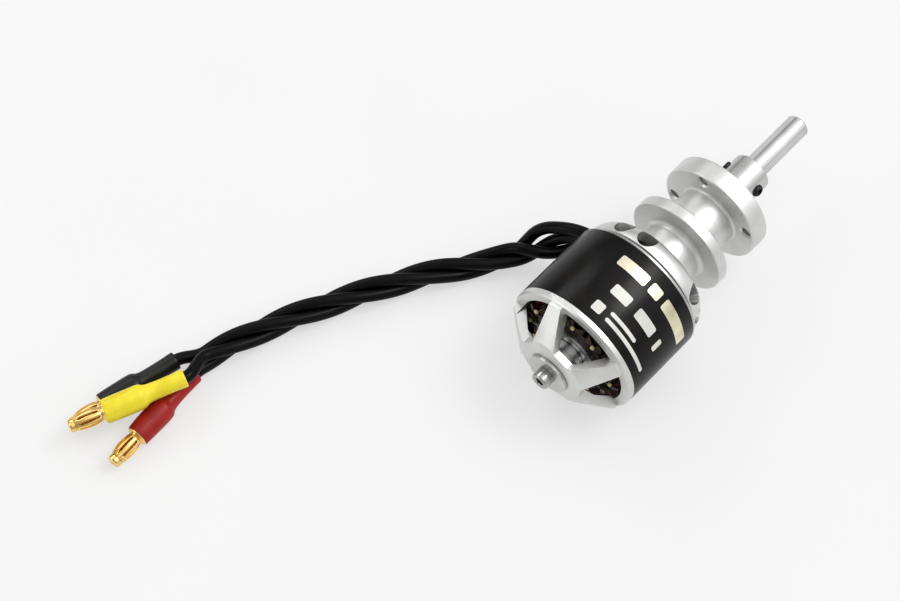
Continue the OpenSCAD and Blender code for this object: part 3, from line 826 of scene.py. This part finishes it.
def bell():
    """Bell on the shaft's end: hub, five sloping spokes and a rim that holds the ring."""
    slope_front = -55.3
    slope_r = 17.0
    rim_r = 17.46
    lip_front = -51.25
    inside_back = -59.8
    hub_r = 5.8
    boss_r = 5.2
    boss_tip_r = 4.0
    outline = [(HUB_FACE, SHAFT_R), (HUB_FACE, hub_r), (-61.4, 9.6), (slope_front, slope_r),
               (RIM_FACE, slope_r), (RIM_FACE, 17.06), (-53.86, rim_r), (LABEL_X[0], rim_r),
               (LABEL_X[0], RING_INNER_R), (lip_front, RING_INNER_R), (lip_front, 14.75),
               (-53.85, 14.55), (inside_back, 9.0), (inside_back, hub_r), (-59.2, boss_r),
               (-57.4, boss_r), (-57.2, boss_tip_r), (TUBE_END, boss_tip_r), (TUBE_END, SHAFT_R)]
    radii = {1: 0.3, 2: 0.5, 3: 0.25, 10: 0.2, 11: 0.5, 12: 0.6, 13: 0.4, 14: 0.3, 15: 0.15}
    mesh = lathed("bell", fillet(outline, radii, 4), 240)
    cut_back = -63
    cut_front = -45
    window_r = 14.95
    past_rim_r = 20
    deep = []
    open_edge = []
    for i in range(SPOKES):
        turn = about_shaft(36 + 360 / SPOKES * i)
        deep.append(moved(prism(window(window_r, True), cut_back, cut_front), turn))
        open_edge.append(moved(prism(window(past_rim_r, False), cut_back, RIM_FACE), turn))
    obj = carved("bell", mesh, [join(deep), join(open_edge)], "rotor",
                 [BLASTED, BRIGHT_CUT], bevel=0.2, bevel_material=1, angle=32)
    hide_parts("bell_end_cap")


bell()

# ---- Can: ring, label and its printed bars ----


def can():
    """Steel ring, bare and rounded at its edge next to the mount, and the thin wrap round it."""
    ring = fillet([(RING_X[0], RING_INNER_R), (RING_X[0], RING_R), (RING_X[1], RING_R),
                   (RING_X[1], RING_INNER_R)], {1: 0.1, 2: 0.42, 3: 0.15}, 5)
    obj = finish_mesh("can_ring", lathed("can_ring", ring, 240), "rotor", PLATED_RING)
    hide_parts("flux_ring")
    wrap = fillet([(LABEL_X[0], RING_R), (LABEL_X[0], CAN_R), (LABEL_X[1], CAN_R),
                   (LABEL_X[1], RING_R)], {1: 0.06, 2: 0.06}, 3)
    skin = finish_mesh("can_label", lathed("can_label", wrap, 240), "rotor", LABEL)
    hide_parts("label_wrap")


def printed_bar(x0, x1, start, end):
    """Thin slab on the label between two stations and two angles, with eased corners."""
    low = CAN_R - 0.01
    high = CAN_R + 0.012
    steps = max(4, int(abs(end - start)))
    corner = min(0.35, (x1 - x0) * 0.49)
    verts = []
    for k in range(steps + 1):
        angle = start + (end - start) * k / steps
        from_end = min(k, steps - k) / steps * math.radians(abs(end - start)) * CAN_R
        inset = corner * (1 - min(1.0, from_end / corner)) ** 2
        for r in (low, high):
            verts += [polar(x0 + inset, r, angle), polar(x1 - inset, r, angle)]
    faces = [(0, 1, 3, 2), (4 * steps, 4 * steps + 2, 4 * steps + 3, 4 * steps + 1)]
    for k in range(steps):
        a = 4 * k
        b = a + 4
        faces += [(a, b, b + 1, a + 1), (a + 2, a + 3, b + 3, b + 2), (a, a + 2, b + 2, b),
                  (a + 1, b + 1, b + 3, a + 3)]
    return verts, faces


def print_on_label():
    """Plain gold and silver bars that stand in for the printing."""
    gold = [(-38.1, -35.2, 83, 110), (-38.1, -35.2, 114, 125), (-38.1, -35.2, 130, 172)]
    silver = [(-44.6, -41.8, 95, 112), (-44.6, -41.8, 120, 142), (-45.2, -42.0, 150, 155),
              (-50.5, -47.7, 93, 102), (-48.5, -47.5, 107, 136), (-50.4, -49.4, 107, 161)]
    for name, bars, foil, slot in (("label_gold_bars", gold, FOIL, "gold_plate"),
                                   ("label_silver_bars", silver, PALE_INK, "black_label")):
        mesh = mesh_from(name, *join([printed_bar(*bar) for bar in bars]))
        obj = finish_mesh(name, mesh, "rotor", foil)


can()
print_on_label()

# ---- Shaft, washers, collar and grub screws ----


def flat_cut(angle):
    """Block that cuts one 0.2 mm flat along the output end of the shaft."""
    flat_start = 11.5
    cutter = block((flat_start, SHAFT_X[1] + 3), (SHAFT_R - 0.2, 6), (-4, 4))
    return moved(cutter, about_shaft(angle))


def shaft():
    """Ground shaft with two flats and a relief groove next to the collar."""
    groove_r = SHAFT_R - 0.25
    groove_front = COLLAR_FRONT + 0.7
    out_end = SHAFT_X[1]
    outline = [(SHAFT_X[0], ON_AXIS), (SHAFT_X[0], SHAFT_R), (COLLAR_FRONT, SHAFT_R),
               (COLLAR_FRONT, groove_r), (groove_front, groove_r), (groove_front, SHAFT_R),
               (out_end - 0.5, SHAFT_R), (out_end, 2.5), (out_end, ON_AXIS)]
    mesh = lathed("shaft_bar", fillet(outline, {6: 0.15, 7: 0.1}, 3), 128)
    obj = carved("shaft_bar", mesh, [flat_cut(47), flat_cut(160)], "rotor", [GROUND_STEEL],
                 bevel=0.05, angle=25)
    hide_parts("shaft")


def end_screw():
    """Socket screw that clamps the bell: rounded head edge, countersunk hexagon socket."""
    top = SCREW_X[0]
    tip = -56.3
    head_r = 2.25
    thread_r = 1.2
    socket_r = 1.2
    outline = [(top, ON_AXIS), (top, head_r), (WASHER_BACK, head_r), (WASHER_BACK, thread_r),
               (tip, thread_r), (tip, ON_AXIS)]
    mesh = lathed("end_screw", fillet(outline, {1: 0.45, 2: 0.1}, 5), 96)
    socket = rod(polar(top - 1, 0, 0), polar(top + 1.3, 0, 0), socket_r, 6)
    sunk = cone(polar(top - 0.01, 0, 0), polar(top + 0.3, 0, 0), 1.5, 1.1, 40)
    obj = carved("end_screw", mesh, [socket, sunk], "rotor", [SCREW_STEEL], bevel=0.05, angle=25)
    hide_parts("bell_screw")


def washer(name, node, x0, x1, inner, outer, round_r, material):
    """Turned ring between two stations, with its outer edges rounded by round_r."""
    ring = fillet([(x0, inner), (x0, outer), (x1, outer), (x1, inner)],
                  {0: 0.1, 1: round_r, 2: round_r, 3: 0.1}, 4)
    obj = finish_mesh(name, lathed(name, ring, 128), "rotor", material)
    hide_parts(node)


def collar():
    """Collar on the shaft, with two round holes for its grub screws."""
    ring = fillet([(COLLAR_BACK, SHAFT_R), (COLLAR_BACK, COLLAR_R), (COLLAR_FRONT, COLLAR_R),
                   (COLLAR_FRONT, SHAFT_R)], {0: 0.2, 1: 0.35, 2: 0.35, 3: 0.3}, 4)
    hole_r = 1.5
    holes = [rod(polar(GRUB_X, 3.4, a), polar(GRUB_X, 7, a), hole_r, 40) for a in GRUB_ANGLES]
    obj = carved("collar", lathed("collar", ring, 160), [join(holes)], "rotor",
                 [TURNED_ALUMINIUM, BRIGHT_CUT], bevel=0.1, bevel_material=1)
    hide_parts("shaft_collar")


def grub_screws():
    """Socket screws standing radially, narrower at the foot, with a hexagon socket in the top."""
    base = 3.02
    top = 5.6
    side_r = 1.42
    socket_r = 0.8
    parts = []
    sockets = []
    for angle in GRUB_ANGLES:
        parts.append(cone_stack(GRUB_X, angle, [(base, 0.9), (base + 0.35, side_r), (top - 0.3, side_r),
                                                (top, 1.15)], 40))
        sockets.append(rod(polar(GRUB_X, top - 1.1, angle), polar(GRUB_X, top + 0.5, angle), socket_r, 6))
    mesh = mesh_from("collar_screws", *join(parts))
    obj = carved("collar_screws", mesh, [join(sockets)], "rotor", [BLACK_OXIDE], bevel=0.05, angle=25)
    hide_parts("collar_grub_screws")


def cone_stack(x, angle, levels, sides):
    """Closed turned shape that stands radially at a station and angle: levels of (height, radius)."""
    out = polar(0, 1, angle).normalized()
    turn = out.to_track_quat("Z", "X").to_matrix()
    base = Vector((x, 0, 0)) * MM
    verts = []
    for height, radius in levels:
        verts += [base + out * height * MM
                  + turn @ Vector((math.cos(TAU * k / sides), math.sin(TAU * k / sides), 0)) * radius * MM
                  for k in range(sides)]
    faces = [tuple(range(sides - 1, -1, -1)),
             tuple(range((len(levels) - 1) * sides, len(levels) * sides))]
    for level in range(len(levels) - 1):
        a = level * sides
        b = a + sides
        faces += [(a + k, a + (k + 1) % sides, b + (k + 1) % sides, b + k) for k in range(sides)]
    return verts, faces


shaft()
end_screw()
washer("bell_washer", "hub_washer", WASHER_BACK, HUB_FACE, 1.35, 5.5, 0.2, TURNED_ALUMINIUM)
washer("collar_washer", "thrust_washer", BOSS_FRONT, COLLAR_BACK, SHAFT_R, 4.15, 0.15, BEARING_STEEL)
collar()
grub_screws()

# ---- Coils ----

WIRE_R = 0.3
HOOK_WIRE_R = 0.2
COIL_BACK = -32.2
TIP_R = 12.1
ROW_PITCH = 0.53
LAYER_STEP = 1.1


def coil_turn(tooth, r, across, front, back):
    """One turn of enamelled wire round a tooth, from its front loop to its back loop."""
    corner = min(across * 0.9, 1.6)
    path = []
    for end, way in ((front, -1), (back, 1)):
        for k in range(9):
            t = k / 8
            a = math.pi * t
            y = across * math.cos(a) * (1 if way < 0 else -1)
            x = end - way * corner * (1 - math.sin(a) ** 0.8)
            path.append((x, y))
    turn = about_shaft(360 * tooth / TEETH)
    return [turn @ (Vector((x, r, y)) * MM) for x, y in path]


def hook(tooth, r, reach, x):
    """A wire that bends round the dab of sealant on the end of a tooth."""
    side = 1 if tooth % 2 == 0 else -1
    turn = about_shaft(360 * tooth / TEETH)
    path = []
    for k in range(13):
        a = math.radians(-115 + 205 * k / 12)
        place = Vector((x + 0.02 * k, r + reach * math.sin(a), side * reach * math.cos(a)))
        path.append(turn @ (place * MM))
    return tube_along(path, HOOK_WIRE_R, 8)


def inner_turn(r, x):
    """A turn of wire laid round the stator tube, on the ends of the coils."""
    path = [polar(x + 0.06 * math.sin(5 * k), r + 0.08 * math.sin(3 * k), 5 * k) for k in range(72)]
    return tube_along(path, WIRE_R, 7, True)


def windings():
    """Twelve coils of three nested layers, hooks on the teeth's ends and turns round the tube."""
    random.seed(7)
    parts = []
    for tooth in range(TEETH):
        for layer, across in enumerate((1.45, 1.9, 2.3)):
            for row in range(9 - layer):
                r = 8.2 + ROW_PITCH * row + 0.26 * layer + random.uniform(-0.04, 0.04)
                front = COIL_FRONT + WIRE_R + LAYER_STEP * (2 - layer) + random.uniform(0, 0.12)
                back = COIL_BACK - WIRE_R - LAYER_STEP * (2 - layer)
                width = min(across, 0.26 * r - 0.33)
                parts.append(tube_along(coil_turn(tooth, r, width, front, back), WIRE_R, 7, True))
        for level, reach in enumerate((1.05, 1.55, 2.05)):
            parts.append(hook(tooth, TIP_R, reach, COIL_FRONT - 0.1 + 0.15 * level))
    for row in range(6):
        parts.append(inner_turn(7.95 + 0.5 * row, COIL_FRONT + 0.4 + 0.06 * row))
    # The coils take the copper material whose near black colour is painted shade.
    obj = finish_mesh("coils", mesh_from("coils", *join(parts)), "stator", COPPER_WITH_PAINTED_SHADE, sharp=60)
    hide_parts("windings")


def tooth_tips():
    """Dabs of cream sealant on the tips of the teeth, in front of the coils' loops."""
    random.seed(11)
    half_depth = 0.5
    rings = 5
    sides = 10
    parts = []
    for tooth in range(TEETH):
        size = random.uniform(0.55, 0.75)
        centre = polar(COIL_FRONT - 0.1, TIP_R, 360 * tooth / TEETH)
        verts = []
        faces = []
        for i in range(1, rings):
            lift = math.pi * i / rings
            for k in range(sides):
                a = TAU * k / sides
                lump = size * (1 + 0.12 * math.sin(3 * a + tooth))
                verts.append(centre + Vector((-half_depth * math.cos(lift),
                                              lump * math.sin(lift) * math.cos(a),
                                              lump * math.sin(lift) * math.sin(a))) * MM)
        verts += [centre + Vector((-half_depth, 0, 0)) * MM, centre + Vector((half_depth, 0, 0)) * MM]
        first = len(verts) - 2
        for i in range(rings - 2):
            for k in range(sides):
                n = (k + 1) % sides
                faces.append((i * sides + k, i * sides + n, (i + 1) * sides + n, (i + 1) * sides + k))
        faces += [(first, (k + 1) % sides, k) for k in range(sides)]
        low = (rings - 2) * sides
        faces += [(first + 1, low + k, low + (k + 1) % sides) for k in range(sides)]
        parts.append((verts, faces))
    mesh = mesh_from("sealant_dabs", *join(parts))
    obj = finish_mesh("sealant_dabs", mesh, "stator", SEALANT, sharp=80)


tooth_tips()
windings()

# ---- Nodes kept as the CAD model has them ----


def finish_node(name, material):
    """Gives a node that keeps its CAD shape one material."""
    mesh = nodes[name].data
    mesh.materials.clear()
    mesh.materials.append(material)


finish_node("stator_core", LAMINATION)
finish_node("stator_insulators", FIBRE)
finish_node("winding_leads", SILICONE)
finish_node("wire_grommet", RUBBER)
finish_node("magnets", MAGNET)
finish_node("bearing_shields", SHIELD_STEEL)
for end in ("output", "bell"):
    finish_node(f"{end}_bearing_outer_race", BEARING_STEEL)
    finish_node(f"{end}_bearing_inner_race", BEARING_STEEL)
    finish_node(f"{end}_bearing_cage", CAGE_BRASS)
    finish_node(f"{end}_bearing_balls", BALL_STEEL)

# ---- Floor and light ----

FLOOR_GLOW = 0.625
LAMP_WAY = Vector((0.42, -0.35, 0.84))
LAMP_LEVEL = 1.35
AIM = (-0.05, 0.02, 0)


def floor():
    """Plain pale surface under the motor, a little lit from within so that it renders near white."""
    size = 4.0
    verts = [(-size, -size, FLOOR_Z * MM), (size, -size, FLOOR_Z * MM),
             (size, size, FLOOR_Z * MM), (-size, size, FLOOR_Z * MM)]
    mesh = bpy.data.meshes.new("floor")
    mesh.from_pydata(verts, [], [(0, 1, 2, 3)])
    material, surface = shader("pale_floor", Roughness=0.9, Specular_IOR_Level=0.1,
                               Emission_Strength=FLOOR_GLOW)
    link(material, tint(material, noise(material, 80, 2.0), (0.26, 0.26, 0.26), (0.27, 0.27, 0.27)),
         surface.inputs["Base Color"])
    surface.inputs["Emission Color"].default_value = (1, 1, 1, 1)
    mesh.materials.append(material)
    obj = bpy.data.objects.new("floor", mesh)
    bpy.context.scene.collection.objects.link(obj)


def softbox(name, place, size, power):
    """Rectangular lamp aimed at the middle of the motor: size in metres, power in watts."""
    data = bpy.data.lights.new(name, "AREA")
    data.shape = "RECTANGLE"
    data.size = size[0]
    data.size_y = size[1]
    data.energy = power
    obj = bpy.data.objects.new(name, data)
    obj.location = place
    obj.rotation_euler = (Vector(AIM) - Vector(place)).to_track_quat("-Z", "Y").to_euler()
    bpy.context.scene.collection.objects.link(obj)


def sky():
    """Studio surround: brightest towards LAMP_WAY, dim on the opposite side."""
    world = bpy.data.worlds.new("studio")
    world.use_nodes = True
    tree = world.node_tree
    back = tree.nodes["Background"]
    back.inputs["Strength"].default_value = LAMP_LEVEL
    place = tree.nodes.new("ShaderNodeTexCoord")
    facing = tree.nodes.new("ShaderNodeVectorMath")
    facing.operation = "DOT_PRODUCT"
    facing.inputs[1].default_value = LAMP_WAY.normalized()
    tree.links.new(place.outputs["Generated"], facing.inputs[0])
    half = tree.nodes.new("ShaderNodeMath")
    half.operation = "MULTIPLY_ADD"
    half.inputs[1].default_value = 0.5
    half.inputs[2].default_value = 0.5
    tree.links.new(facing.outputs["Value"], half.inputs[0])
    ramp = tree.nodes.new("ShaderNodeValToRGB")
    ramp.color_ramp.interpolation = "EASE"
    stops = ramp.color_ramp.elements
    stops[0].position = 0.0
    stops[0].color = (0.30, 0.303, 0.307, 1)
    stops[1].position = 0.97
    stops[1].color = (1.0, 1.0, 1.0, 1)
    for position, level in ((0.60, 0.34), (0.80, 0.5), (0.90, 0.85)):
        stops.new(position).color = (level, level, level, 1)
    tree.links.new(half.outputs["Value"], ramp.inputs["Fac"])
    tree.links.new(ramp.outputs["Color"], back.inputs["Color"])
    bpy.context.scene.world = world


floor()
sky()
softbox("key", (0.40, -0.30, 0.85), (0.45, 0.35), 2.7)
softbox("left", (-0.75, 0.50, 0.28), (0.5, 0.4), 1.3)
softbox("back", (0.05, 0.75, 0.6), (0.6, 0.4), 1.6)
bpy.context.scene.view_settings.view_transform = "Standard"
bpy.context.scene.view_settings.gamma = 0.8
